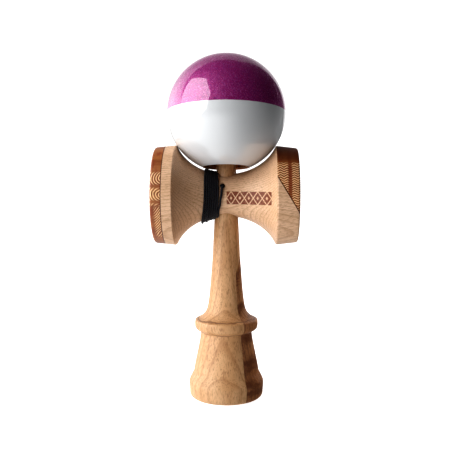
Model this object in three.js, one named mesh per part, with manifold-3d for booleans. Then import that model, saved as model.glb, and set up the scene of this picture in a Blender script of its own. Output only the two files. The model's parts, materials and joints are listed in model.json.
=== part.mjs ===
// A kendama, the ball and cup toy: a turned wooden handle (ken) with a spike at its top and a cup in
// its base, a crosspiece with two more cups pushed down over the spike, and a drilled ball on a string.
// Millimetres, +Z up. The origin is the middle of the base cup's rim, the big cup is at -X, and the
// string hole faces -Y.
import * as THREE from "three";
import { mergeVertices } from "three/addons/utils/BufferGeometryUtils.js";
import Module from "manifold-3d";

const wasm = await Module();
wasm.setup();

// ---------- driving dimensions ----------
const SIDES = 32;               // flats round every turned piece
const BALL_R = 30.3;            // the ball rests almost on the crosspiece's two ridges
const BALL_Z = 145.25;          // its centre above the base
const BALL_TILT = 6.8;          // degrees the ball leans back on the spike
const CUP_BOWL_R = 30.5;        // every cup is a bowl for the ball
const GLUE_GAP = 0.12;          // each glue line
const RUN_GAP = 0.3;            // between pieces that only rest on each other

const CROSS_Z = 103.3;          // crosspiece axis above the base
const WAIST_R = 10.8;           // crosspiece at its middle
const FLARE_LENGTH = 26.8;      // its hollowed sides follow an ellipse: half its length along X
const FLARE_DEPTH = 21.6;       // and half its depth
const RIDGE_X = 25.2;           // where each flare ends
const RIDGE_WIDTH = 0.6;        // the ridge between each flare and its cup's band
const FACE_X = 36.2;            // each cup's rim
const BIG_CUP = { side: -1, mouth: 21.5, band: 25.5, face: 24.6 };
const SMALL_CUP = { side: 1, mouth: 20, band: 25.2, face: 24.1 };
const RIM_ROUND = 1.2;
const RING_GLUE_X = -30.6;      // dark ring glued on at the big cup
const WEDGE_GLUE_X = 25.3;      // dark wedge glued on at the small cup
const WEDGE_SLOPE = 58.7;       // degrees that its lower glue line falls towards the rim
const WEDGE_Z = 9.5;            // height over the axis where that line starts

const BASE_R = 19.05;           // widest part of the handle's foot
const BASE_CUP_R = 16;          // mouth of the cup in the foot
const SPIKE_TIP_Z = 158.6;
const DARK_TURN = 29.5;         // degrees from +X towards +Y that the dark side faces
const DARK_OFFSET = 1.52;       // its glue plane, off the handle's axis
const DARK_TOP_Z = 60.7;        // where its slanted top end would cross the axis
const DARK_TOP_RISE = 2;        // rise of that end per millimetre outwards

const BORE_R = 10.7;            // ball's main hole
const BORE_TOP = 24.5;          // its closed end, above the ball's centre
const BALL_MOUTH_R = 11.6;      // where the main hole opens through the ball's skin
const STRING_HOLE_R = 1.5;      // small hole at the ball's top
const BEAD_R = 3.4;
const KNOT_R = 1.5;             // the string's end knot, under the bead
const STRING_R = 0.53;
const ANCHOR_X = -1.6;          // string hole in the crosspiece
const ANCHOR_Z = CROSS_Z + 5;
const HOLE_FRONT_Y = -14;       // from clear of the front surface
const HOLE_BACK_Y = -4;         // into the crosspiece's bore
const HOLE_CLEARANCE = 0.75;    // round the string
const ANCHOR_KNOT_R = 1.2;      // the knot that holds the string's other end
const ANCHOR_KNOT_Y = -7;
const WRAP_FROM = -10.6;        // the turns of string on the crosspiece, along X
const WRAP_TO = -3;
const WRAP_GAP = 0.1;           // under the turns, which are pulled tight
const WRAP_ROOM_R = 6.9;        // the handle's room through the turns
const KNOT_POCKET_R = 1.75;     // the string hole's wide end, which holds the knot
const KNOT_POCKET_Y = -8.4;
const CROSS_BORE_REACH = 20;    // longer than the crosspiece's bore, above and below its axis

// ---------- helpers ----------
const rad = THREE.MathUtils.degToRad;
const point = (x, y, z) => new THREE.Vector3(x, y, z);

// points [x, y] along an arc, both ends included; angles in degrees
function arc(centreX, centreY, radius, from, to, steps) {
  return Array.from({ length: steps + 1 }, (_, i) => {
    const angle = rad(from + ((to - from) * i) / steps);
    return [centreX + radius * Math.cos(angle), centreY + radius * Math.sin(angle)];
  });
}

// points [x, y] on a smooth curve through a few given ones
function smooth(through, steps) {
  const curve = new THREE.SplineCurve(through.map(([x, y]) => new THREE.Vector2(x, y)));
  return curve.getPoints(steps).map((p) => [p.x, p.y]);
}

// a closed geometry as a manifold solid
function solid(geometry) {
  geometry.deleteAttribute("normal");
  geometry.deleteAttribute("uv");
  const merged = mergeVertices(geometry, 1e-4);
  const corners = merged.index.array;
  const triangles = [];
  for (let i = 0; i < corners.length; i += 3) {
    const [a, b, c] = [corners[i], corners[i + 1], corners[i + 2]];
    if (a !== b && b !== c && c !== a) triangles.push(a, b, c);
  }
  const mesh = new wasm.Mesh({
    numProp: 3,
    vertProperties: Float32Array.from(merged.attributes.position.array),
    triVerts: Uint32Array.from(triangles),
  });
  return new wasm.Manifold(mesh);
}

// a manifold solid back as a geometry
function geometryOf(body) {
  const mesh = body.getMesh();
  const geometry = new THREE.BufferGeometry();
  geometry.setAttribute("position", new THREE.Float32BufferAttribute(mesh.vertProperties, 3));
  geometry.setIndex(Array.from(mesh.triVerts));
  geometry.computeVertexNormals();
  return geometry;
}

// an outline of [radius, height] points, given upwards on its outside, turned about +Z
function turned(outline, sides = SIDES) {
  const points = outline.map(([radius, height]) => new THREE.Vector2(radius, height));
  return new THREE.LatheGeometry(points, sides).rotateX(Math.PI / 2);
}

// the same outline turned about +X at the crosspiece's height
function turnedAlongX(outline) {
  return turned(outline).rotateY(Math.PI / 2).translate(0, 0, CROSS_Z);
}

// all the space on the far side of a plane, as a block big enough for this object
function beyond(normal, offset) {
  const size = 400;
  const direction = normal.clone().normalize();
  const turn = new THREE.Quaternion().setFromUnitVectors(point(1, 0, 0), direction);
  const block = new THREE.BoxGeometry(size, size, size).applyQuaternion(turn);
  return solid(block.translate(...direction.multiplyScalar(offset + size / 2).toArray()));
}

// a plain tube along points
function tube(through, radius, steps) {
  const section = new THREE.Shape().absarc(0, 0, radius, 0, 2 * Math.PI);
  const path = new THREE.CatmullRomCurve3(through, false, "centripetal");
  return new THREE.ExtrudeGeometry(section, {
    extrudePath: path, steps, curveSegments: 4, bevelEnabled: false,
  });
}

function finish(color, roughness) {
  return new THREE.MeshStandardMaterial({ color, roughness, metalness: 0 });
}

const kendama = new THREE.Group();
function place(name, geometry, material, group = kendama) {
  const mesh = new THREE.Mesh(geometry, material);
  mesh.name = name;
  group.add(mesh);
}

// ---------- materials ----------
const beech = finish(0xdcb68a, 0.55);
const figuredWood = finish(0xa8632c, 0.5);
const darkWood = finish(0x6b4128, 0.5);
const lacquer = finish(0xa02a80, 0.12);
const cordBlack = finish(0x0b0c10, 0.85);
const beadPlastic = finish(0xe9e4da, 0.4);

// ---------- handle ----------
// The spike and the seat under it are one long taper, which the crosspiece's bore follows.
const TAPER_FROM = [6.15, 90];
const TAPER_TO = [3.3, SPIKE_TIP_Z - 3];
function taperRadius(height) {
  const along = (height - TAPER_FROM[1]) / (TAPER_TO[1] - TAPER_FROM[1]);
  return TAPER_FROM[0] + (TAPER_TO[0] - TAPER_FROM[0]) * along;
}

function bowlDepth(mouthRadius) {
  return CUP_BOWL_R - Math.sqrt(CUP_BOWL_R ** 2 - mouthRadius ** 2);
}

function handleOutline() {
  const depth = bowlDepth(BASE_CUP_R);
  const mouthAngle = THREE.MathUtils.radToDeg(Math.asin(BASE_CUP_R / CUP_BOWL_R));
  const bowl = arc(0, depth - CUP_BOWL_R, CUP_BOWL_R, 90, 90 - mouthAngle, 6);
  const foot = [
    ...arc(BASE_R - 2.3, 2, 2, -90, 0, 4),
    [BASE_R, 7.8],
    [BASE_R - 0.25, 8.7],
    [16.75, 12.6],
  ];
  const cone = smooth([[16.1, 16.5], [14.7, 23.3], [13.6, 28.9], [13.1, 32]], 6);
  const ring = [
    [13.5, 33],
    [15.2, 34.3],
    ...smooth([[16, 35.4], [16.2, 37.2], [16, 39]], 4),
    [15.4, 40],
    [14.4, 40.7],
  ];
  const grip = smooth([[11.9, 42], [10.4, 43.8], [9.45, 46.8], [8.45, 54.3], [7.2, 69.8]], 12);
  const tip = smooth([[2.6, SPIKE_TIP_Z - 1.1], [1.4, SPIKE_TIP_Z - 0.25], [0, SPIKE_TIP_Z]], 4);
  return [...bowl, ...foot, ...cone, ...ring, ...grip, TAPER_FROM, TAPER_TO, ...tip];
}

const handle = solid(turned(handleOutline()));
const darkSide = point(Math.cos(rad(DARK_TURN)), Math.sin(rad(DARK_TURN)), 0);
const darkTop = point(darkSide.x * DARK_TOP_RISE, darkSide.y * DARK_TOP_RISE, -1);
function darkSpace(gap) {
  const side = beyond(darkSide, DARK_OFFSET + gap);
  const end = beyond(darkTop, -DARK_TOP_Z / darkTop.length() + gap);
  return side.intersect(end);
}

place("ken_body", geometryOf(handle.subtract(darkSpace(-GLUE_GAP / 2))), beech);
place("ken_dark_half", geometryOf(handle.intersect(darkSpace(GLUE_GAP / 2))), darkWood);

// ---------- crosspiece ----------
function flareRadius(along) {
  return WAIST_R + FLARE_DEPTH * (1 - Math.sqrt(1 - (along / FLARE_LENGTH) ** 2));
}

// one cup, from the bottom of its bowl, over its rim and back along its band to the ridge
function cupOutline({ side, mouth, band, face }) {
  const angle = THREE.MathUtils.radToDeg(Math.asin(mouth / CUP_BOWL_R));
  const centre = FACE_X + Math.sqrt(CUP_BOWL_R ** 2 - mouth ** 2);
  const outline = [
    ...arc(0, centre, CUP_BOWL_R, -90, angle - 90, 6),
    ...arc(face - RIM_ROUND, FACE_X - RIM_ROUND, RIM_ROUND, 90, 5, 3),
    [band, RIDGE_X + RIDGE_WIDTH],
  ];
  return outline.map(([radius, along]) => [radius, side * along]);
}

// from the bottom of the big cup, along the outside and into the small cup
function crosspieceOutline() {
  const steps = 18;
  const flare = Array.from({ length: steps + 1 }, (_, i) => {
    const along = RIDGE_X * Math.sin(rad(-90 + (180 * i) / steps));
    return [flareRadius(along), along];
  });
  return [...cupOutline(BIG_CUP), ...flare, ...cupOutline(SMALL_CUP).reverse()];
}

const boreFrom = CROSS_Z - CROSS_BORE_REACH;
const boreTo = CROSS_Z + CROSS_BORE_REACH;
const bore = solid(turned([
  [0, boreFrom],
  [taperRadius(boreFrom) + RUN_GAP, boreFrom],
  [taperRadius(boreTo) + RUN_GAP, boreTo],
  [0, boreTo],
]));

// a round hole along Y between two depths, at the string's place
function stringHole(radius, from, to) {
  const peg = new THREE.CylinderGeometry(radius, radius, Math.abs(to - from), 16);
  return solid(peg.translate(ANCHOR_X, (from + to) / 2, ANCHOR_Z));
}

const stock = solid(turnedAlongX(crosspieceOutline()))
  .subtract(bore)
  .subtract(stringHole(STRING_R + HOLE_CLEARANCE, HOLE_FRONT_Y, HOLE_BACK_Y))
  .subtract(stringHole(KNOT_POCKET_R, KNOT_POCKET_Y, HOLE_BACK_Y));

const slope = rad(WEDGE_SLOPE);
const wedgeNormal = point(Math.sin(slope), 0, Math.cos(slope));
const wedgeOffset = wedgeNormal.dot(point(WEDGE_GLUE_X, 0, CROSS_Z + WEDGE_Z));
function wedgeSpace(gap) {
  return beyond(point(1, 0, 0), WEDGE_GLUE_X + gap).intersect(beyond(wedgeNormal, wedgeOffset + gap));
}
function ringSpace(gap) {
  return beyond(point(-1, 0, 0), -RING_GLUE_X + gap);
}

const halfGap = GLUE_GAP / 2;
const core = stock.subtract(ringSpace(-halfGap)).subtract(wedgeSpace(-halfGap));
place("crosspiece_core", geometryOf(core), beech);
place("big_cup_dark_ring", geometryOf(stock.intersect(ringSpace(halfGap))), figuredWood);
place("small_cup_dark_wedge", geometryOf(stock.intersect(wedgeSpace(halfGap))), figuredWood);

// ---------- ball, with what its bore holds ----------
const ballGroup = new THREE.Group();
ballGroup.position.z = BALL_Z;
ballGroup.rotation.x = -rad(BALL_TILT);
kendama.add(ballGroup);

function ballOutline() {
  const chamfer = 2.8;
  const bottom = -THREE.MathUtils.radToDeg(Math.acos(BALL_MOUTH_R / BALL_R));
  const top = THREE.MathUtils.radToDeg(Math.acos(chamfer / BALL_R));
  const outline = [
    ...arc(0, 0, BALL_R, bottom, top, 18),
    [STRING_HOLE_R, BALL_R - 1.6],
    [STRING_HOLE_R, BORE_TOP],
    [BORE_R - 3.2, BORE_TOP],
    [BORE_R - 1.2, BORE_TOP - 2],
    [BORE_R, -26.9],
  ];
  return [...outline, outline[0]];
}
place("ball", turned(ballOutline()), lacquer, ballGroup);

const beadZ = BORE_TOP - RUN_GAP - BEAD_R;
const beadBore = STRING_R + 0.4;
const beadAngle = THREE.MathUtils.radToDeg(Math.acos(beadBore / BEAD_R));
const beadOutline = arc(0, beadZ, BEAD_R, -beadAngle, beadAngle, 8);
place("bead", turned([...beadOutline, beadOutline[0]], 20), beadPlastic, ballGroup);

const endKnotZ = beadZ - BEAD_R - KNOT_R - 0.1;
const endKnot = new THREE.SphereGeometry(KNOT_R, 12, 8).rotateX(Math.PI / 2);
place("string_end_knot", endKnot.translate(0, 0, endKnotZ), cordBlack, ballGroup);

// ---------- string ----------
const anchorKnot = new THREE.SphereGeometry(ANCHOR_KNOT_R, 12, 8);
place("string_anchor_knot", anchorKnot.translate(ANCHOR_X, ANCHOR_KNOT_Y, ANCHOR_Z), cordBlack);

const leadPath = [
  point(ANCHOR_X, -8.6, ANCHOR_Z), point(ANCHOR_X, -9.8, ANCHOR_Z), point(-1.65, -10.9, 107.7),
  point(-1.75, -11.6, 106.4), point(-1.95, -11.8, 104.9),
];
place("string_lead", tube(leadPath, STRING_R, 6), cordBlack);

// the turns side by side round the crosspiece, as one sleeve, cut clear of the handle
function wrapSleeve() {
  const steps = 4;
  const pitch = (WRAP_TO - WRAP_FROM) / steps;
  const along = Array.from({ length: steps + 1 }, (_, i) => WRAP_FROM + pitch * i);
  const layer = (depth, xs) => xs.map((x) => [flareRadius(x) + WRAP_GAP + depth, x]);
  const rounded = [along[0] + STRING_R, ...along.slice(1, -1), along[steps] - STRING_R];
  const outside = layer(2 * STRING_R, rounded);
  const [firstEdge, lastEdge] = layer(STRING_R, [along[0], along[steps]]);
  const inside = layer(0, along).reverse();
  const sleeve = solid(turnedAlongX([firstEdge, ...outside, lastEdge, ...inside, firstEdge]));
  const handleRoom = new THREE.CylinderGeometry(WRAP_ROOM_R, WRAP_ROOM_R, 80, 16).rotateX(Math.PI / 2);
  return sleeve.subtract(solid(handleRoom.translate(0, 0, CROSS_Z)));
}
place("string_wrap", geometryOf(wrapSleeve()), cordBlack);

// from the back of the turns, up behind the ball and down through its top hole to the bead
const STRAND_R = BALL_R + STRING_R + 0.4;
const lean = rad(BALL_TILT);
// a place on the ball, by its angle up from +Y in the plane of lean and its offset in X
function overBall(angle, x) {
  const radius = Math.sqrt(STRAND_R ** 2 - x ** 2);
  return point(x, radius * Math.cos(rad(angle)), BALL_Z + radius * Math.sin(rad(angle)));
}
// a place over or in the ball's top hole, by its height and set-back from the ball's axis
function atTopHole(height, back) {
  const y = height * Math.sin(lean) + back * Math.cos(lean);
  return point(0, y, BALL_Z + height * Math.cos(lean) - back * Math.sin(lean));
}
const tailPath = [
  point(-11, 14.9, 98.3), point(-11.3, 18, 107), point(-11, 21.6, 116), point(-10.4, 25.2, 125.4),
  overBall(-22, -9.6), overBall(-8, -8.4), overBall(7, -7), overBall(22, -5.4), overBall(37, -3.8),
  overBall(50, -2.4), overBall(62, -1.2), overBall(71, -0.4),
  atTopHole(BALL_R + 0.7, 3.2), atTopHole(BALL_R + 0.3, 1.4), atTopHole(BALL_R - 1, 0.25),
  atTopHole(BALL_R - 2.6, 0), atTopHole(BORE_TOP - 0.2, 0),
];
place("string_tail", tube(tailPath, STRING_R, 42), cordBlack);

export default kendama;
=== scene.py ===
"""The looks of a kendama: turned and laminated wood, a lacquered ball and a braided string."""
import json
import math

import bmesh
import bpy
from mathutils import Matrix, Vector


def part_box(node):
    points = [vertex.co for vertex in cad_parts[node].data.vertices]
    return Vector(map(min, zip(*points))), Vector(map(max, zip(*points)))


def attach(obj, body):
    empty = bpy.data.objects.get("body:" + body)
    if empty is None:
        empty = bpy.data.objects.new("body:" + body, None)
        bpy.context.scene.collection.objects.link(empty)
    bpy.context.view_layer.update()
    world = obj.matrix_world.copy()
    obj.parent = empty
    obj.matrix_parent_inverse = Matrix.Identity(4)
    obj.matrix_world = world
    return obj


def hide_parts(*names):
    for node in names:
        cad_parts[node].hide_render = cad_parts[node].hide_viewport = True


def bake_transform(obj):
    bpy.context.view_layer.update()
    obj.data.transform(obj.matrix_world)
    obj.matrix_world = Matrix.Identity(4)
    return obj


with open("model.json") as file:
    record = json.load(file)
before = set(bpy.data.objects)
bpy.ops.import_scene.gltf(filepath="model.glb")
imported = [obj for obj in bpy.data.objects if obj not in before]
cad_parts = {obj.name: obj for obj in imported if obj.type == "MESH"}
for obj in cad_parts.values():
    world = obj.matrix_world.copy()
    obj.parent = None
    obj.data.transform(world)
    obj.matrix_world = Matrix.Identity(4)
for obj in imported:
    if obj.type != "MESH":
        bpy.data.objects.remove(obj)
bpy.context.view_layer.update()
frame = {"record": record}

# ---------------------------------------------------------------- places and sizes, in millimetres

MM = 0.001

# Places that the frame gives.
joints = {joint["name"]: joint for joint in frame["record"]["behaviour"]["joints"]}
core_low, core_high = (Vector(corner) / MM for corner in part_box("crosspiece_core"))
ball_low, ball_high = (Vector(corner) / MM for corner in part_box("ball"))
CROSS_Z = (core_low.z + core_high.z) / 2
FACE_X = -(Vector(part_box("big_cup_dark_ring")[0]) / MM).x
TIP_Z = (Vector(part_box("ken_body")[1]) / MM).z
BALL_R = (ball_high.x - ball_low.x) / 2
BALL_AT = Vector(joints["ball_spin"]["pos_m"]) / MM
BALL_AXIS = Vector(joints["ball_spin"]["axis"]).normalized()
BALL_LEAN = math.asin(BALL_AXIS.y)

# The bowls of all three cups, and the gaps between pieces.
CUP_BOWL_R = 30.5
GLUE_GAP = 0.03
RUN_GAP = 0.3

# The crosspiece: its waist and flares, its cups, its glued woods and the holes in it.
WAIST_R = 10.8
FLARE_LENGTH = 26.8
FLARE_DEPTH = 21.6
RIDGE_X = 25.2
RIDGE_WIDTH = 0.6
BIG_CUP = {"side": -1, "mouth": 21.5, "band": 25.5, "face": 24.6}
SMALL_CUP = {"side": 1, "mouth": 20, "band": 25.2, "face": 24.1}
RIM_ROUND = 1.2
RING_GLUE_X = -30.6
WEDGE_GLUE_X = 25.3
WEDGE_SLOPE = math.radians(58.7)
WEDGE_Z = 9.5
WEDGE_NORMAL = Vector((math.sin(WEDGE_SLOPE), 0, math.cos(WEDGE_SLOPE)))
WEDGE_OFFSET = WEDGE_NORMAL.dot(Vector((WEDGE_GLUE_X, 0, CROSS_Z + WEDGE_Z)))
CROSS_BORE_REACH = 20
HOLE_CLEARANCE = 0.75
HOLE_FRONT_Y = -14
HOLE_BACK_Y = -4
KNOT_POCKET_R = 1.75
KNOT_POCKET_Y = -8.4

# The handle: its foot, its dark half, and two (radius, height) places on its spike's taper.
BASE_R = 19.05
BASE_CUP_R = 16
DARK_TURN = math.radians(29.5)
DARK_OFFSET = 1.52
DARK_TOP_Z = 60.7
DARK_TOP_RISE = 2
TAPER = ((6.15, 90.0), (3.3, TIP_Z - 3))

# The ball, and the bead in it. BORE_TOP is above the ball's middle.
BALL_MOUTH_R = 11.6
BORE_R = 10.7
BORE_TOP = 24.5
STRING_HOLE_R = 1.5
BEAD_R = 3.4

# The string, which starts at its knot at ANCHOR.
STRING_D = 1.06
ANCHOR = Vector((-1.6, -7, CROSS_Z + 5))

# Flats round a turned piece.
SIDES = 144

# ---------------------------------------------------------------- outlines


def arc(centre_x, centre_y, radius, start, end, steps):
    """Points (x, y) along an arc, both ends included; angles in degrees."""
    angles = [math.radians(start + (end - start) * i / steps) for i in range(steps + 1)]
    return [(centre_x + radius * math.cos(a), centre_y + radius * math.sin(a)) for a in angles]


def smooth(through, steps):
    """Points on a Catmull-Rom curve through a few given ones, of any dimension."""
    spans = len(through) - 1
    points = []
    for i in range(steps + 1):
        span, t = divmod(spans * i / steps, 1)
        span = int(span)
        if span == spans:
            span, t = spans - 1, 1.0
        corners = [through[min(max(span + k, 0), spans)] for k in (-1, 0, 1, 2)]
        weights = (
            -t / 2 + t * t - t**3 / 2,
            1 - 2.5 * t * t + 1.5 * t**3,
            t / 2 + 2 * t * t - 1.5 * t**3,
            (t**3 - t * t) / 2,
        )
        size = len(through[0])
        points.append(tuple(sum(w * c[n] for w, c in zip(weights, corners)) for n in range(size)))
    return points


# ---------------------------------------------------------------- meshes

TO_FRAME = Matrix.Scale(MM, 4)
ALONG_X = TO_FRAME @ Matrix.Translation((0, 0, CROSS_Z)) @ Matrix.Rotation(math.pi / 2, 4, "Y")
IN_BALL = TO_FRAME @ Matrix.Translation(BALL_AT) @ Matrix.Rotation(-BALL_LEAN, 4, "X")


def add_object(name, mesh):
    piece = bpy.data.objects.new(name, mesh)
    bpy.context.scene.collection.objects.link(piece)
    return piece


def finish_mesh(mesh, crease=32):
    """Faces out, smooth but for real edges."""
    work = bmesh.new()
    work.from_mesh(mesh)
    bmesh.ops.remove_doubles(work, verts=work.verts, dist=1e-6)
    bmesh.ops.recalc_face_normals(work, faces=work.faces)
    work.to_mesh(mesh)
    work.free()
    mesh.shade_smooth()
    mesh.set_sharp_from_angle(angle=math.radians(crease))


def turned(name, outline, place=TO_FRAME, sides=SIDES):
    """A solid turned from (radius, height) points that end on the axis or close on themselves."""
    closed = outline[0] == outline[-1]
    points = outline[:-1] if closed else outline
    vertices, rings = [], []
    for radius, height in points:
        count = 1 if radius < 1e-6 else sides
        rings.append([len(vertices) + k for k in range(count)])
        for k in range(count):
            angle = 2 * math.pi * k / sides
            vertices.append(place @ Vector((radius * math.cos(angle), radius * math.sin(angle), height)))
    pairs = list(zip(rings, rings[1:])) + ([(rings[-1], rings[0])] if closed else [])
    faces = []
    for low, high in pairs:
        for k in range(sides):
            corners = [low[k % len(low)], low[(k + 1) % len(low)]]
            corners += [high[(k + 1) % len(high)], high[k % len(high)]]
            faces.append(list(dict.fromkeys(corners)))
    mesh = bpy.data.meshes.new(name)
    mesh.from_pydata(vertices, [], [face for face in faces if len(face) > 2])
    finish_mesh(mesh)
    return add_object(name, mesh)


def beyond(normal, offset):
    """The space on the far side of a plane, as a block big enough for this object."""
    size = 400 * MM
    direction = Vector(normal).normalized()
    block = bpy.data.meshes.new("block")
    work = bmesh.new()
    bmesh.ops.create_cube(work, size=size)
    turn = direction.to_track_quat("X", "Z").to_matrix().to_4x4()
    work.transform(Matrix.Translation(direction * (offset * MM + size / 2)) @ turn)
    work.to_mesh(block)
    work.free()
    return add_object("block", block)


def carve(piece, tool, operation):
    """Cuts a tool's shape out of a piece, or all but its shape, for good. It uses up the tool."""
    cut = piece.modifiers.new("carve", "BOOLEAN")
    cut.operation = operation
    cut.solver = "EXACT"
    cut.object = tool
    bpy.context.view_layer.update()
    evaluated = piece.evaluated_get(bpy.context.evaluated_depsgraph_get())
    mesh = bpy.data.meshes.new_from_object(evaluated)
    mesh.name = piece.name
    piece.modifiers.clear()
    piece.data = mesh
    bpy.data.objects.remove(tool)
    return piece


def copy_of(piece, name):
    return add_object(name, piece.data.copy())


# ---------------------------------------------------------------- materials

# Where growth rings and the inlays' rows are counted from, in millimetres.
RING_ORIGIN = 200
FIGURE_ORIGIN = 300


def srgb(red, green, blue):
    """A colour as it looks on a screen, 0 to 255, as linear light."""

    def linear(value):
        value /= 255
        return value / 12.92 if value <= 0.04045 else ((value + 0.055) / 1.055) ** 2.4

    return (linear(red), linear(green), linear(blue), 1.0)


class Nodes:
    """A node tree, with a short call for each kind of node."""

    def __init__(self, tree):
        self.tree = tree

    def put(self, socket, value):
        if isinstance(value, bpy.types.NodeSocket):
            self.tree.links.new(value, socket)
        else:
            socket.default_value = value

    def node(self, kind, inputs=None, **settings):
        made = self.tree.nodes.new(kind)
        for name, value in settings.items():
            setattr(made, name, value)
        for socket, value in (inputs or {}).items():
            self.put(made.inputs[socket], value)
        return made

    def math(self, operation, *values):
        return self.node("ShaderNodeMath", dict(enumerate(values)), operation=operation).outputs[0]

    def product(self, *values):
        result = values[0]
        for value in values[1:]:
            result = self.math("MULTIPLY", result, value)
        return result

    def vector(self, operation, a, b=(0, 0, 0), scale=1.0):
        made = self.node("ShaderNodeVectorMath", operation=operation)
        self.put(made.inputs[0], a)
        if operation == "SCALE":
            self.put(made.inputs["Scale"], scale)
        elif operation != "NORMALIZE":
            self.put(made.inputs[1], b)
        return made.outputs["Value" if operation == "DOT_PRODUCT" else "Vector"]

    def dot(self, vector, direction):
        return self.vector("DOT_PRODUCT", vector, tuple(direction))

    def apart(self, vector):
        return self.node("ShaderNodeSeparateXYZ", {0: vector}).outputs

    def together(self, x, y, z):
        return self.node("ShaderNodeCombineXYZ", {0: x, 1: y, 2: z}).outputs[0]

    def step(self, value, start, end, low=0.0, high=1.0):
        """A smooth step from low to high as value goes from start to end."""
        inputs = {"Value": value, "From Min": start, "From Max": end, "To Min": low, "To Max": high}
        return self.node("ShaderNodeMapRange", inputs, interpolation_type="SMOOTHSTEP").outputs[0]

    def mix(self, factor, a, b):
        made = self.node("ShaderNodeMix", {0: factor, 6: a, 7: b}, data_type="RGBA")
        return made.outputs[2]


class Finish(Nodes):
    """A material of one shader, with its place in millimetres."""

    def __init__(self, name, roughness, specular=0.5):
        self.material = bpy.data.materials.new(name)
        self.material.use_nodes = True
        super().__init__(self.material.node_tree)
        self.surface = self.tree.nodes["Principled BSDF"]
        self.surface.inputs["Roughness"].default_value = roughness
        self.surface.inputs["Specular IOR Level"].default_value = specular
        metres = self.node("ShaderNodeTexCoord").outputs["Object"]
        self.mm = self.vector("SCALE", metres, scale=1 / MM)

    def set(self, socket, value):
        self.put(self.surface.inputs[socket], value)

    def noise(self, scales, detail=2.0, roughness=0.5, place=None):
        """Noise with its own scale per millimetre along each axis."""
        place = self.vector("MULTIPLY", place or self.mm, scales)
        inputs = {"Vector": place, "Scale": 1.0, "Detail": detail, "Roughness": roughness}
        return self.node("ShaderNodeTexNoise", inputs).outputs["Fac"]

    def waver(self, scales, width):
        """A slow drift of up to half the width either way."""
        return self.math("MULTIPLY", self.math("SUBTRACT", self.noise(scales, 2, 0.5), 0.5), width)

    def colour_so_far(self):
        return self.surface.inputs["Base Color"].links[0].from_socket

    def bump(self, height, depth):
        """Relief of that many millimetres where height is 1."""
        inputs = {"Height": height, "Distance": depth * MM, "Strength": 1.0}
        normal = self.node("ShaderNodeBump", inputs).outputs[0]
        self.set("Normal", normal)


def wood(name, grain, colours, roughness=0.42, ring_pitch=3.2, ring_shift=0.0, figure=0.0, specular=0.6):
    """Solid wood: growth rings facing front and back, fibres and short rays along the grain.

    grain is the axis the grain runs along. colours are ground, shade, ring line and ray. figure is
    how strongly dark bands cross the grain."""
    s = Finish(name, roughness, specular)
    ground, shade, line, ray = colours
    x, y, z = s.apart(s.mm)
    place = s.together(x, y, z) if grain == "Z" else s.together(z, y, x)
    across, deep, along = s.apart(place)

    drift = s.noise((0.045, 0.045, 0.016), 2, 0.5, place)
    sag = s.product(across, across, 0.006)
    rings = s.math("ADD", s.math("ADD", deep, sag), s.math("MULTIPLY", drift, 4.5))
    rings = s.math("FRACT", s.math("DIVIDE", s.math("ADD", rings, RING_ORIGIN + ring_shift), ring_pitch))
    late = s.math("MULTIPLY", s.step(rings, 0.55, 0.93), s.step(rings, 1.0, 0.95))

    patches = s.noise((0.10, 0.10, 0.03), 3, 0.55, place)
    fibres = s.noise((2.6, 2.6, 0.09), 3, 0.6, place)
    fine = s.noise((6, 6, 0.5), 2, 0.5, place)
    rays = s.noise((2.2, 2.2, 0.42), 2.5, 0.6, place)
    rays = s.step(rays, 0.51, 0.63)

    colour = s.mix(s.step(patches, 0.3, 0.7), ground, shade)
    colour = s.mix(s.math("MULTIPLY", s.step(fibres, 0.35, 0.75), 0.5), colour, shade)
    if figure:
        waver = s.math("MULTIPLY", s.noise((0.16, 0.16, 0.05), 2, 0.5, place), 9)
        bands = s.noise((0.05, 0.05, 0.24), 2.5, 0.6, s.together(across, deep, s.math("ADD", along, waver)))
        colour = s.mix(s.math("MULTIPLY", s.step(bands, 0.42, 0.60), figure), colour, line)
    colour = s.mix(s.math("MULTIPLY", late, 0.46), colour, line)
    colour = s.mix(s.math("MULTIPLY", rays, 0.56), colour, ray)
    colour = s.mix(s.math("MULTIPLY", s.step(fine, 0.4, 0.8), 0.2), colour, line)
    relief = s.math("SUBTRACT", s.math("MULTIPLY", fine, 0.5), rays)
    s.set("Base Color", colour)
    s.set("Roughness", s.step(fibres, 0.2, 0.8, roughness - 0.05, roughness + 0.08))
    s.bump(relief, 0.03)
    return s


HANDLE_BEECH = (srgb(222, 182, 140), srgb(206, 162, 118), srgb(172, 122, 80), srgb(150, 102, 64))
CROSS_BEECH = (srgb(236, 201, 170), srgb(220, 183, 149), srgb(178, 134, 98), srgb(172, 130, 96))
DARK_WOOD = (srgb(198, 147, 104), srgb(172, 118, 78), srgb(112, 65, 39), srgb(100, 59, 37))
INK = srgb(122, 52, 16)
GLUE = srgb(84, 40, 18)
# The colour of the dark line at the ring's lip and of the painted shade under the ring.
RING_LINE_AND_SHADE = srgb(104, 60, 32)


def darken_joint(s, distance, width=0.3):
    """The dark line where two woods are glued, by how far a place is from the joint."""
    colour = s.colour_so_far()
    near = s.step(distance, width, width * 0.5)
    s.set("Base Color", s.mix(near, colour, GLUE))


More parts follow.
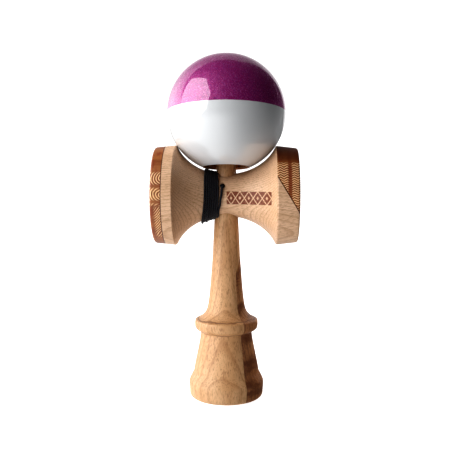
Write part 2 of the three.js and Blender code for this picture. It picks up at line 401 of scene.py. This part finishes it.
def burnt_mark(s):
    """A plain band of burnt lozenges and triangles across the crosspiece's front."""
    pitch, half_width, half_height, length = 4.4, 2.2, 3.3, 22
    x, y, z = s.apart(s.mm)
    along = s.math("SUBTRACT", x, 0.5)
    up = s.math("SUBTRACT", z, CROSS_Z - 1.0)
    cell = s.math("SUBTRACT", s.math("FRACT", s.math("DIVIDE", along, pitch)), 0.5)
    side = s.math("ABSOLUTE", s.math("MULTIPLY", cell, pitch))
    height = s.math("ABSOLUTE", up)
    lozenge = s.math("ADD", s.math("DIVIDE", side, half_width), s.math("DIVIDE", height, half_height))
    ring = s.math("MULTIPLY", s.step(lozenge, 0.90, 0.84), s.step(lozenge, 0.26, 0.32))
    between = s.math("MULTIPLY", s.step(lozenge, 1.10, 1.16), s.step(height, half_height, half_height - 0.2))
    mark = s.math("MAXIMUM", ring, between)
    inside = s.math("MULTIPLY", s.step(along, -0.1, 0.1), s.step(along, length + 0.1, length - 0.1))
    uneven = s.noise((1.3, 1.3, 1.3), 3, 0.6)
    return s.product(mark, inside, s.step(y, -1, -2), s.step(uneven, 0.15, 0.6, 0.7, 1.0))


def ring_lines_and_painted_shade(s):
    """Dark lines over and under the handle's ring, which waver a little: the one under the ring is painted
    shade where the ring meets the cone, and the one over it darkens the ring's lip.
    """
    z = s.apart(s.mm)[2]
    over_z, shaded_crease_z = 40.1, 33.4
    waver = s.waver((0.14, 0.14, 0.1), 2.4)
    level = s.math("ADD", z, waver)
    over = s.step(s.math("ABSOLUTE", s.math("SUBTRACT", level, over_z)), 0.3, 0.1)
    # The line under the ring is painted shade in the crease where the ring meets the cone.
    under = s.step(s.math("ABSOLUTE", s.math("SUBTRACT", level, shaded_crease_z)), 0.25, 0.1)
    colour = s.colour_so_far()
    s.set("Base Color", s.mix(s.math("MULTIPLY", s.math("MAXIMUM", over, under), 0.6), colour, RING_LINE_AND_SHADE))
    return s.material


def marked_beech():
    s = wood("crosspiece beech", "X", CROSS_BEECH, ring_pitch=1.9, ring_shift=0.6)
    mark = burnt_mark(s)
    colour = s.colour_so_far()
    s.set("Base Color", s.mix(mark, colour, INK))
    return s.material


def figured_base(s):
    """The brown under the pale figure: soft level bands, reddish blotches and fine grit."""
    blotch = s.noise((0.30, 0.12, 0.22), 2, 0.5, s.vector("ADD", s.mm, (40, 3, 9)))
    band = s.noise((0.03, 0.03, 0.42), 2, 0.5)
    grit = s.noise((2.4, 2.4, 3.4), 2, 0.6)
    colour = s.mix(s.step(band, 0.35, 0.65), srgb(170, 108, 60), srgb(134, 72, 36))
    colour = s.mix(s.math("MULTIPLY", s.step(blotch, 0.48, 0.64), 0.8), colour, srgb(140, 66, 30))
    return s.mix(s.math("MULTIPLY", s.step(grit, 0.45, 0.75), 0.35), colour, srgb(126, 70, 36)), grit


def show_figure(s, pale, strength, light):
    colour, grit = figured_base(s)
    s.set("Base Color", s.mix(s.math("MULTIPLY", pale, strength), colour, light))
    s.bump(s.math("SUBTRACT", s.math("MULTIPLY", pale, 0.5), grit), 0.03)


def ring_figure():
    """Pale arcs, like ripples round places on the glue line, and slanted strokes below them."""
    s = Finish("figured wood in arcs", 0.42, 0.55)
    x, y, z = s.apart(s.mm)
    waver = s.waver((0.25, 0.1, 0.25), 1.6)
    arcs_at, arcs_apart = CROSS_Z + 1.2, 7.6
    height = s.math("ADD", s.math("SUBTRACT", z, arcs_at - 10 * arcs_apart), waver)
    up = s.math("PINGPONG", height, arcs_apart / 2)
    out = s.math("SUBTRACT", RING_GLUE_X + 1.2, x)
    reach = s.math("SQRT", s.math("ADD", s.product(out, out), s.product(up, up, 1.7)))
    row = s.math("FRACT", s.math("DIVIDE", s.math("ADD", reach, s.math("MULTIPLY", waver, 0.4)), 1.3))
    arcs = s.product(s.step(row, 0.40, 0.62), s.step(row, 1.0, 0.86), s.step(up, 3.6, 2.4))
    arcs = s.product(arcs, s.step(z, CROSS_Z - 5, CROSS_Z - 3), s.step(z, CROSS_Z + 13, CROSS_Z + 11))
    slant = s.math("ADD", s.math("MULTIPLY", x, 0.75), s.math("ADD", s.math("MULTIPLY", z, -0.75), waver))
    stroke = s.math("FRACT", s.math("ADD", slant, RING_ORIGIN))
    strokes = s.product(s.step(stroke, 0.45, 0.65), s.step(stroke, 1.0, 0.85), s.step(out, 5.4, 3.4))
    strokes = s.product(strokes, s.step(z, CROSS_Z - 4, CROSS_Z - 6), s.step(z, CROSS_Z - 21, CROSS_Z - 19))
    show_figure(s, s.math("MAXIMUM", arcs, strokes), 0.95, srgb(246, 206, 156))
    darken_joint(s, s.math("SUBTRACT", RING_GLUE_X, x), 0.5)
    return s.material


def wedge_figure():
    """Level rows of fine pale zigzags, with a red band up the middle, the top left plain, and painted shade
    darkening it towards the top.
    """
    s = Finish("figured wood in zigzags", 0.55, 0.2)
    x, y, z = s.apart(s.mm)
    waver = s.waver((0.2, 0.1, 0.2), 1.2)
    teeth = s.math("MULTIPLY", s.math("PINGPONG", s.math("ADD", x, FIGURE_ORIGIN), 1.65), 0.5)
    level = s.math("ADD", s.math("ADD", s.math("ADD", z, teeth), waver), FIGURE_ORIGIN)
    row = s.math("FRACT", s.math("DIVIDE", level, 1.1))
    red_band_x = 31.3
    band = s.math("ABSOLUTE", s.math("SUBTRACT", x, red_band_x))
    pale = s.product(s.step(row, 0.42, 0.55), s.step(row, 1.0, 0.9), s.step(z, CROSS_Z + 17, CROSS_Z + 15.5))
    pale = s.product(pale, s.step(band, 0.5, 1.3, 0.35, 1.0))
    show_figure(s, pale, 0.95, srgb(246, 204, 158))
    colour = s.colour_so_far()
    colour = s.mix(s.step(band, 1.3, 0.4, 0.0, 0.6), colour, srgb(128, 56, 26))
    # Painted shade: darker towards the wedge's top.
    colour = s.mix(s.step(z, CROSS_Z + 16, CROSS_Z + 19, 0.0, 0.75), colour, srgb(104, 52, 26))
    s.set("Base Color", colour)
    face = s.math("SUBTRACT", s.dot(s.mm, WEDGE_NORMAL), WEDGE_OFFSET)
    darken_joint(s, face, 0.6)
    return s.material


def ball_lacquer():
    """Magenta glitter over white, both under a thick clear coat."""
    s = Finish("ball lacquer", 0.4)
    height = s.dot(s.vector("SUBTRACT", s.mm, tuple(BALL_AT)), BALL_AXIS)
    glitter = s.step(height, -0.08, 0.08)
    flakes = s.node("ShaderNodeTexVoronoi", {"Vector": s.mm, "Scale": 4.2, "Randomness": 1.0})
    tone = s.apart(flakes.outputs["Color"])
    flake = s.mix(tone[0], srgb(144, 20, 98), srgb(178, 52, 142))
    flake = s.mix(s.step(tone[2], 0.70, 0.90, 0.0, 0.6), flake, srgb(112, 26, 132))
    flake = s.mix(s.step(tone[1], 0.80, 0.94, 0.0, 0.7), flake, srgb(214, 130, 196))
    s.set("Base Color", s.mix(glitter, srgb(222, 224, 226), flake))
    s.set("Metallic", s.math("MULTIPLY", glitter, 0.3))
    tilt = s.vector("SUBTRACT", flakes.outputs["Color"], (0.5, 0.5, 0.5))
    tilt = s.vector("SCALE", tilt, scale=s.math("MULTIPLY", glitter, 0.4))
    normal = s.node("ShaderNodeNewGeometry").outputs["Normal"]
    s.set("Normal", s.vector("NORMALIZE", s.vector("ADD", normal, tilt)))
    s.surface.inputs["Coat Weight"].default_value = 1.0
    s.surface.inputs["Coat Roughness"].default_value = 0.02
    s.surface.inputs["Coat IOR"].default_value = 1.8
    return s.material


def string_braid():
    s = Finish("string braid", 0.72, 0.3)
    threads = s.noise((9, 9, 9), 2, 0.6)
    s.set("Base Color", s.mix(s.step(threads, 0.3, 0.7), srgb(13, 13, 17), srgb(34, 35, 44)))
    s.surface.inputs["Sheen Weight"].default_value = 0.12
    s.surface.inputs["Sheen Roughness"].default_value = 0.5
    s.bump(threads, 0.06)
    return s.material


def bead_plastic():
    s = Finish("bead plastic", 0.35)
    cloud = s.noise((0.5, 0.5, 0.5), 2, 0.5)
    s.set("Base Color", s.mix(cloud, srgb(236, 232, 222), srgb(222, 216, 204)))
    return s.material


handle_beech = ring_lines_and_painted_shade(wood("handle beech", "Z", HANDLE_BEECH, ring_pitch=3.1))
cross_beech = marked_beech()
dark_wood = ring_lines_and_painted_shade(wood("dark wood", "Z", DARK_WOOD, ring_pitch=2.2, ring_shift=0.9, figure=0.85))
# The ball's bore is bare beech; it takes the dark wood's colours as painted shade in the bore.
shaded_bore_wood = wood("bore wood", "Z", DARK_WOOD, 0.6, specular=0.3).material
ring_wood = ring_figure()
wedge_wood = wedge_figure()
lacquer = ball_lacquer()
braid = string_braid()
bead_white = bead_plastic()


def dress(piece, body, node, slot, *materials):
    """Puts a finished piece on its body, in place of its CAD node."""
    for material in materials:
        piece.data.materials.append(material)
    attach(piece, body)
    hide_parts(node)
    return piece


# ---------------------------------------------------------------- string

# Angles are round the crosspiece's axis, in degrees: 0 at the front, 90 on top.
TURNS = 7
LAST_ANGLE = -360 * TURNS - 156
# The lead's (angle, place along X), from the hole to the first turn.
LEAD = ((27, -1.6), (12, -1.9), (-19, -2.75), (-42, -3.7))
# The first turn's (angle, place along X, step to the next turn): under, behind, over, in front.
FIRST_TURN = ((-90, -4.6, -1.1), (-180, -4.7, -1.05), (-270, -4.6, -0.98), (-360, -3.85, -1.07))
# How far the string stands off the wood and the ball, and how far some turns stand out.
WRAP_GAP = 0.08
BALL_GAP = 0.12
STACKED_LIFT = 0.12
SLACK_LIFT = 0.3
SLACK_TURNS = (5, 7)
TIGHT_PART = 0.35
# The route's finest points are this far apart.
ROUTE_STEP = 0.16


def flare_radius(x):
    """The crosspiece's radius between its cups: a waist with an elliptical flare each way."""
    return WAIST_R + FLARE_DEPTH * (1 - math.sqrt(1 - (x / FLARE_LENGTH) ** 2))


def wrap_route():
    """The lead and the turns round the crosspiece, with sixteen points to a turn."""
    keys = list(LEAD)
    for turn in range(TURNS + 1):
        sides = FIRST_TURN if turn < TURNS else FIRST_TURN[:2]
        keys += [(angle - 360 * turn, x + step * turn) for angle, x, step in sides]
    points = []
    for (angle_a, x_a), (angle_b, x_b) in zip(keys, keys[1:]):
        for t in (0, 0.25, 0.5, 0.75):
            angle = angle_a + (angle_b - angle_a) * t
            if angle < LAST_ANGLE:
                break
            ease = t * t * (3 - 2 * t)
            x = x_a + (x_b - x_a) * ease
            turn = int(-angle // 360)
            upright = math.sin(math.radians(angle))
            stacked = STACKED_LIFT if turn % 2 else 0.0
            slack = SLACK_LIFT if turn in SLACK_TURNS and upright < 0 else 0.0
            lift = (stacked + slack) * max(0.0, abs(upright) - TIGHT_PART) / (1 - TIGHT_PART)
            radius = flare_radius(x) + WRAP_GAP + STRING_D / 2 + lift
            points.append((x, -radius * math.cos(math.radians(angle)), CROSS_Z + radius * upright))
    return points


def over_ball(angle, x):
    """A place for the string on the ball, by its angle up from +Y and its offset in X."""
    reach = math.sqrt((BALL_R + STRING_D / 2 + BALL_GAP) ** 2 - x**2)
    height = reach * math.sin(math.radians(angle))
    return (x, reach * math.cos(math.radians(angle)), BALL_AT.z + height)


def at_top_hole(height, back):
    """A place over or in the ball's top hole, by its height and its set-back from the axis."""
    y = height * math.sin(BALL_LEAN) + back * math.cos(BALL_LEAN)
    return (0, y, BALL_AT.z + height * math.cos(BALL_LEAN) - back * math.sin(BALL_LEAN))


def string_route():
    """The whole string, from its knot in the crosspiece to the knot under the bead."""
    hole = [(ANCHOR.x, ANCHOR.y - 0.6, ANCHOR.z), (ANCHOR.x, ANCHOR.y - 2.2, ANCHOR.z)]
    tail = [(-11.3, 18, 107), (-11, 21.6, 116), (-10.4, 25.2, 125.4)]
    on_ball = ((-22, -9.6), (-8, -8.4), (7, -7), (22, -5.4), (37, -3.8), (50, -2.4), (62, -1.2), (71, -0.4))
    tail += [over_ball(angle, x) for angle, x in on_ball]
    tail += [at_top_hole(BALL_R + 0.7, 3.2), at_top_hole(BALL_R + 0.3, 1.4), at_top_hole(BALL_R - 1, 0.25)]
    tail += [at_top_hole(BALL_R - 2.6, 0), at_top_hole(BORE_TOP, 0), at_top_hole(BORE_TOP - 7.3, 0)]
    coarse = hole + wrap_route() + tail
    dense = smooth(coarse, len(coarse) * 24)
    return evenly([Vector(point) for point in dense], ROUTE_STEP)


def evenly(points, spacing):
    """The same line with its points a fixed distance apart."""
    lengths = [0.0]
    for a, b in zip(points, points[1:]):
        lengths.append(lengths[-1] + (b - a).length)
    count = int(lengths[-1] / spacing)
    result, at = [], 0
    for i in range(count + 1):
        goal = lengths[-1] * i / count
        while at < len(lengths) - 2 and lengths[at + 1] < goal:
            at += 1
        share = (goal - lengths[at]) / max(lengths[at + 1] - lengths[at], 1e-9)
        result.append(points[at].lerp(points[at + 1], min(share, 1.0)))
    return result


def braided(name, line, diameter, sides=16, lay=4.6):
    """A braided tube along a line: two sets of four strands, wound opposite ways."""
    between_strands, strand_height = 0.90, 0.13
    vertices, faces = [], []
    normal = (line[1] - line[0]).orthogonal().normalized()
    travelled = 0.0
    for i, centre in enumerate(line):
        ahead = (line[min(i + 1, len(line) - 1)] - line[max(i - 1, 0)]).normalized()
        normal = (normal - ahead * normal.dot(ahead)).normalized()
        side = ahead.cross(normal)
        if i:
            travelled += (centre - line[i - 1]).length
        twist = 2 * math.pi * travelled / lay
        for k in range(sides):
            angle = 2 * math.pi * k / sides
            one_way = abs(math.cos(2 * (angle - twist)))
            other_way = abs(math.sin(2 * (angle + twist)))
            radius = diameter / 2 * (between_strands + strand_height * max(one_way, other_way))
            offset = normal * math.cos(angle) + side * math.sin(angle)
            vertices.append((centre + offset * radius) * MM)
    for i in range(len(line) - 1):
        for k in range(sides):
            a, b = i * sides + k, i * sides + (k + 1) % sides
            faces.append((a, b, b + sides, a + sides))
    faces.append(tuple(range(sides)))
    faces.append(tuple(range(len(vertices) - sides, len(vertices))))
    mesh = bpy.data.meshes.new(name)
    mesh.from_pydata(vertices, [], faces)
    finish_mesh(mesh, crease=60)
    return add_object(name, mesh)


def knot(name, centre, size, body, node):
    """An overhand knot, pulled up tight: a trefoil with a small opening."""
    steps, closed_part, flatness, thickness = 119, 0.97, 0.5, 0.62
    line = []
    for i in range(steps + 1):
        t = 2 * math.pi * i / steps * closed_part
        x = (math.sin(t) + 2 * math.sin(2 * t)) / 3
        y = (math.cos(t) - 2 * math.cos(2 * t)) / 3
        line.append(Vector(centre) + Vector((x, y, -math.sin(3 * t) * flatness)) * size)
    piece = braided(name, line, size * thickness, sides=12)
    return dress(piece, body, node, "string", braid)


route = string_route()
string = braided("string", route, STRING_D)
string.data.materials.append(braid)
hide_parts("string_lead", "string_wrap", "string_tail")
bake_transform(string)

# ---------------------------------------------------------------- handle


def taper_radius(height):
    (low_r, low_z), (high_r, high_z) = TAPER
    return low_r + (high_r - low_r) * (height - low_z) / (high_z - low_z)


def bowl_reach(mouth_radius):
    """How far a bowl's centre lies outside the plane of its mouth."""
    return math.sqrt(CUP_BOWL_R**2 - mouth_radius**2)


def handle_outline():
    """The whole handle's side, from the base cup's bowl, round the foot and up to the spike's tip."""
    lip_round, foot_round = 0.25, 2
    mouth = math.degrees(math.asin(BASE_CUP_R / CUP_BOWL_R))
    bowl = arc(0, -bowl_reach(BASE_CUP_R), CUP_BOWL_R, 90, 90 - mouth, 16)
    lip = arc(BASE_CUP_R + lip_round, lip_round, lip_round, 180, 270, 4)
    foot = arc(BASE_R - foot_round - 0.3, foot_round, foot_round, -90, 0, 10)
    foot += smooth([(BASE_R - 0.22, 3), (BASE_R, 6), (BASE_R, 7.6), (BASE_R - 0.3, 8.7), (18.1, 10.1)], 12)
    foot += [(16.85, 12.5)]
    cone = smooth([(16.7, 12.9), (16.1, 16.5), (14.7, 23.3), (13.6, 28.9), (13.1, 32.4), (13.2, 33.3)], 24)
    ring = smooth([(13.5, 33.6), (15.2, 34.6), (16, 35.7), (16.2, 37.3), (16.1, 38.7), (15.9, 39.4)], 20)
    grip = [(15.6, 39.6), (13.4, 40.7), (11.9, 41.95), (10.4, 43.8), (9.45, 46.8), (8.45, 54.3)]
    grip = smooth(grip + [(7.2, 69.8), (6.7, 79), TAPER[0]], 60)
    tip = smooth([(2.6, TIP_Z - 1.1), (1.4, TIP_Z - 0.25), (0, TIP_Z)], 8)
    return bowl[:-1] + lip + foot + cone + ring + grip + [TAPER[1]] + tip


handle = turned("handle", handle_outline())
dark_side = Vector((math.cos(DARK_TURN), math.sin(DARK_TURN), 0))
dark_top = Vector((dark_side.x * DARK_TOP_RISE, dark_side.y * DARK_TOP_RISE, -1))


def dark_space(gap):
    """Where the handle's dark wood is: one side of a plane up the handle, below a slanted end."""
    side = beyond(dark_side, DARK_OFFSET + gap)
    end = beyond(dark_top, -DARK_TOP_Z / dark_top.length + gap)
    return carve(side, end, "INTERSECT")


dark_half = carve(copy_of(handle, "ken_dark_half_wood"), dark_space(GLUE_GAP / 2), "INTERSECT")
light_half = carve(copy_of(handle, "ken_body_wood"), dark_space(-GLUE_GAP / 2), "DIFFERENCE")
bpy.data.objects.remove(handle)
for half in (dark_half, light_half):
    finish_mesh(half.data)
dress(light_half, "ken", "ken_body", "beech", handle_beech)
dress(dark_half, "ken", "ken_dark_half", "dark_wood", dark_wood)

# ---------------------------------------------------------------- crosspiece


def cup_outline(side, mouth, band, face):
    """One cup, from the bottom of its bowl, over its rim and back along its band to the ridge."""
    angle = math.degrees(math.asin(mouth / CUP_BOWL_R))
    outline = arc(0, FACE_X + bowl_reach(mouth), CUP_BOWL_R, -90, angle - 90, 16)
    outline += [(mouth + 0.25, FACE_X)]
    outline += arc(face - RIM_ROUND, FACE_X - RIM_ROUND, RIM_ROUND, 90, 5, 8)
    outline += [(band, RIDGE_X + RIDGE_WIDTH), (band - 0.15, RIDGE_X + RIDGE_WIDTH - 0.25)]
    return [(radius, side * x) for radius, x in outline]


def crosspiece_outline():
    steps = 72
    places = [RIDGE_X * math.sin(math.pi * (i / steps - 0.5)) for i in range(steps + 1)]
    flare = [(flare_radius(x), x) for x in places]
    return cup_outline(**BIG_CUP) + flare + cup_outline(**SMALL_CUP)[::-1]


def string_hole():
    """The hole that the string comes out of, and the wider pocket behind it that holds its knot."""
    across = TO_FRAME @ Matrix.Translation((ANCHOR.x, 0, ANCHOR.z)) @ Matrix.Rotation(-math.pi / 2, 4, "X")
    radius = STRING_D / 2 + HOLE_CLEARANCE
    outline = [(0, HOLE_FRONT_Y), (radius, HOLE_FRONT_Y), (radius, KNOT_POCKET_Y)]
    outline += [(KNOT_POCKET_R, KNOT_POCKET_Y), (KNOT_POCKET_R, HOLE_BACK_Y), (0, HOLE_BACK_Y)]
    return turned("hole", outline, across, sides=32)


def split_at(outline, x):
    """An outline before, past and after a plane across its axis, which it goes through and back."""

    def on_plane(start, end):
        share = (x - start[1]) / (end[1] - start[1])
        return (start[0] + share * (end[0] - start[0]), x)

    past = [place < x for radius, place in outline]
    first = past.index(True)
    after = past.index(False, first)
    into = on_plane(outline[first - 1], outline[first])
    back = on_plane(outline[after - 1], outline[after])
    return outline[:first] + [into], [into] + outline[first:after] + [back], [back] + outline[after:]


half_gap = GLUE_GAP / 2
whole_outline = crosspiece_outline()
ring_outline = split_at(whole_outline, RING_GLUE_X - half_gap)[1]
ring = turned("big_cup_dark_ring_wood", ring_outline + [ring_outline[0]], ALONG_X)
core_outlines = split_at(whole_outline, RING_GLUE_X + half_gap)
core = turned("crosspiece_core_wood", core_outlines[0] + core_outlines[2], ALONG_X)
bore_ends = (CROSS_Z - CROSS_BORE_REACH, CROSS_Z + CROSS_BORE_REACH)
bore_side = [(taper_radius(end) + RUN_GAP / 2, end) for end in bore_ends]
carve(core, turned("bore", [(0, bore_ends[0]), *bore_side, (0, bore_ends[1])]), "DIFFERENCE")
carve(core, string_hole(), "DIFFERENCE")


def wedge_space(gap):
    """Where the small cup's dark wedge is: out towards the cup's face, above the slanted glue line."""
    face = beyond((1, 0, 0), WEDGE_GLUE_X + gap)
    return carve(face, beyond(WEDGE_NORMAL, WEDGE_OFFSET + gap), "INTERSECT")


wedge = carve(copy_of(core, "small_cup_dark_wedge_wood"), wedge_space(half_gap), "INTERSECT")
carve(core, wedge_space(-half_gap), "DIFFERENCE")
for part in (ring, wedge, core):
    finish_mesh(part.data)
dress(core, "crosspiece", "crosspiece_core", "beech", cross_beech)
dress(ring, "crosspiece", "big_cup_dark_ring", "figured_wood", ring_wood)
dress(wedge, "crosspiece", "small_cup_dark_wedge", "figured_wood", wedge_wood)

# ---------------------------------------------------------------- ball, bead and knots


def ball_outline():
    """The ball's outside, its small top hole and its bore, as heights over its middle."""
    chamfer = 2.8
    bottom = -math.degrees(math.acos(BALL_MOUTH_R / BALL_R))
    top = math.degrees(math.acos(chamfer / BALL_R))
    outline = arc(0, 0, BALL_R, bottom + 0.6, top - 0.5, 72)
    outline += smooth([(chamfer - 0.3, BALL_R - 0.25), (1.8, BALL_R - 0.9), (STRING_HOLE_R, BALL_R - 2)], 6)
    outline += [(STRING_HOLE_R, BORE_TOP), (BORE_R - 3.2, BORE_TOP), (BORE_R - 1.2, BORE_TOP - 2)]
    outline += [(BORE_R, -26.9), (BORE_R + 0.55, -27.6)]
    return outline + [outline[0]]


ball = turned("ball_turned", ball_outline(), IN_BALL)
dress(ball, "ball", "ball", "ball_lacquer", lacquer, shaded_bore_wood)
lacquer_depth = 0.12
for face in ball.data.polygons:
    spoke = Vector(face.center) / MM - BALL_AT
    off_axis = (spoke - BALL_AXIS * spoke.dot(BALL_AXIS)).length
    if spoke.length < BALL_R - lacquer_depth and off_axis < BALL_MOUTH_R:
        face.material_index = 1

bead_z = BORE_TOP - RUN_GAP - BEAD_R
bead_angle = math.degrees(math.acos((STRING_D / 2 + 0.4) / BEAD_R))
bead_outline = arc(0, bead_z, BEAD_R, -bead_angle, bead_angle, 24)
bead = turned("bead_moulded", bead_outline + [bead_outline[0]], IN_BALL, 64)
dress(bead, "string_end", "bead", "bead", bead_white)

end_knot_at = Vector(at_top_hole(bead_z - BEAD_R - 1.3, 0))
end_knot = knot("end_knot_tied", end_knot_at, 1.05, "string_end", "string_end_knot")
anchor_knot = knot("anchor_knot_tied", ANCHOR, 0.85, "crosspiece", "string_anchor_knot")

# ---------------------------------------------------------------- floor, light and camera


def stage_floor():
    """Pale paper to stand on. It takes the object's shadow and lets the room's light past."""
    size = 3.0
    mesh = bpy.data.meshes.new("floor")
    corners = [(-size, -size, 0), (size, -size, 0), (size, size, 0), (-size, size, 0)]
    mesh.from_pydata(corners, [], [(0, 1, 2, 3)])
    floor = add_object("floor", mesh)
    paper = Finish("floor paper", 0.9, 0.0)
    tooth = paper.noise((0.6, 0.6, 0.6), 2)
    paper.set("Base Color", paper.mix(tooth, srgb(250, 250, 250), srgb(246, 246, 246)))
    paper.surface.inputs["Emission Color"].default_value = (1, 1, 1, 1)
    paper.surface.inputs["Emission Strength"].default_value = 0.6
    mesh.materials.append(paper.material)
    floor.visible_diffuse = False
    floor.visible_glossy = False
    floor.visible_shadow = False


def towards(azimuth, elevation):
    """A direction, by its angle left of the front and its angle up, in degrees."""
    a, e = math.radians(azimuth), math.radians(elevation)
    return Vector((-math.sin(a) * math.cos(e), -math.cos(a) * math.cos(e), math.sin(e)))


def studio():
    """A dark room with a large octagonal light on the left, a white backdrop and a white table.

    The camera sees plain white all round, and only the object sees the room."""
    octagon_light, backdrop, table, fill, dark = 2.6, 0.85, 0.9, 0.12, 0.015
    world = bpy.data.worlds.new("studio")
    bpy.context.scene.world = world
    world.use_nodes = True
    s = Nodes(world.node_tree)
    ray = s.node("ShaderNodeTexCoord").outputs["Generated"]
    x, y, z = s.apart(ray)

    # The octagon, by the tangents of the angles across and along it from its middle.
    axis = towards(66, 20)
    sideways = axis.cross(Vector((0, 0, 1))).normalized()
    upwards = sideways.cross(axis)
    depth = s.dot(ray, axis)
    across = s.math("DIVIDE", s.dot(ray, sideways), depth)
    along = s.math("ABSOLUTE", s.math("DIVIDE", s.dot(ray, upwards), depth))
    flat_end = s.math("ADD", along, s.math("MULTIPLY", across, 0.23))
    corner = s.math("ADD", along, s.math("MULTIPLY", across, -0.83))
    octagon = s.product(s.step(across, -0.62, -0.58), s.step(across, 0.58, 0.54))
    octagon = s.product(octagon, s.step(flat_end, 0.74, 0.70), s.step(corner, 0.81, 0.77))
    octagon = s.product(octagon, s.step(depth, 0, 0.05))

    # The backdrop: it ends on the right, grows brighter to the left and fades upwards.
    right = s.math("DIVIDE", x, y)
    top = s.math("DIVIDE", z, y)
    behind = s.product(s.step(y, 0.0, 0.05), s.step(right, 0.66, 0.56))
    behind = s.product(behind, s.step(top, 2.3, 2.1), s.step(z, -0.05, 0.0))
    behind = s.product(behind, s.step(z, 0.15, 0.75, 1.0, 0.35), s.step(right, -0.4, -1.4, 1.0, 2.2))

    # The table below and the faint light from the camera's side, both less on the right.
    below = s.product(s.step(z, 0.02, -0.25), s.step(x, 0.65, -0.35, 0.05, 1.0))
    front = s.product(s.step(y, 0.1, -0.3), s.step(x, 0.35, -0.7))

    light = s.math("ADD", s.math("MULTIPLY", octagon, octagon_light), s.math("MULTIPLY", behind, backdrop))
    light = s.math("ADD", s.math("ADD", light, s.math("MULTIPLY", below, table)), dark)
    light = s.math("ADD", light, s.math("MULTIPLY", front, fill))
    seen = s.node("ShaderNodeLightPath").outputs["Is Camera Ray"]
    light = s.node("ShaderNodeMix", {0: seen, 2: light, 3: 1.0}).outputs[0]
    s.put(s.tree.nodes["Background"].inputs["Strength"], light)
    s.put(s.tree.nodes["Background"].inputs["Color"], (1, 1, 1, 1))


def aim(thing, target):
    """Turns a light or a camera to face a place."""
    thing.rotation_euler = (Vector(target) - thing.location).to_track_quat("-Z", "Y").to_euler()


def panel(name, place, size, power, target):
    """A white panel that lights surfaces without showing in their gloss."""
    light = bpy.data.lights.new(name, "AREA")
    light.shape = "RECTANGLE"
    light.size, light.size_y = size
    light.energy = power
    light.spread = math.radians(110)
    holder = bpy.data.objects.new(name, light)
    bpy.context.scene.collection.objects.link(holder)
    holder.location = place
    holder.visible_camera = False
    holder.visible_glossy = False
    aim(holder, target)


def add_camera():
    """A camera a little above the crosspiece that looks slightly down, with a small shift."""
    distance, height, lowered, turn = 0.340, 0.115, 0.0136, math.radians(2)
    frame_px = 452
    focal_px = 663
    camera = bpy.data.cameras.new("camera")
    camera.sensor_width = 36
    camera.lens = camera.sensor_width * focal_px / frame_px
    camera.shift_y = -0.060
    camera.shift_x = -0.0008
    camera.clip_start = 0.01
    holder = bpy.data.objects.new("camera", camera)
    bpy.context.scene.collection.objects.link(holder)
    holder.location = (distance * math.sin(turn), -distance * math.cos(turn), height)
    aim(holder, (0, 0, height - lowered))
    bpy.context.scene.camera = holder


stage_floor()
studio()
panel("low_panel", place=(0.11, -0.075, 0.03), size=(0.10, 0.05), power=0.010, target=(0, 0, 0.035))
panel("high_panel", place=(-0.06, -0.08, 0.42), size=(0.2, 0.2), power=0.05, target=(0, 0, 0.17))
panel("right_panel", place=(0.36, 0.42, 0.16), size=(0.3, 0.3), power=0.8, target=(0, 0, 0.09))
add_camera()
view = bpy.context.scene.view_settings
view.view_transform = "Standard"
view.look = "High Contrast"
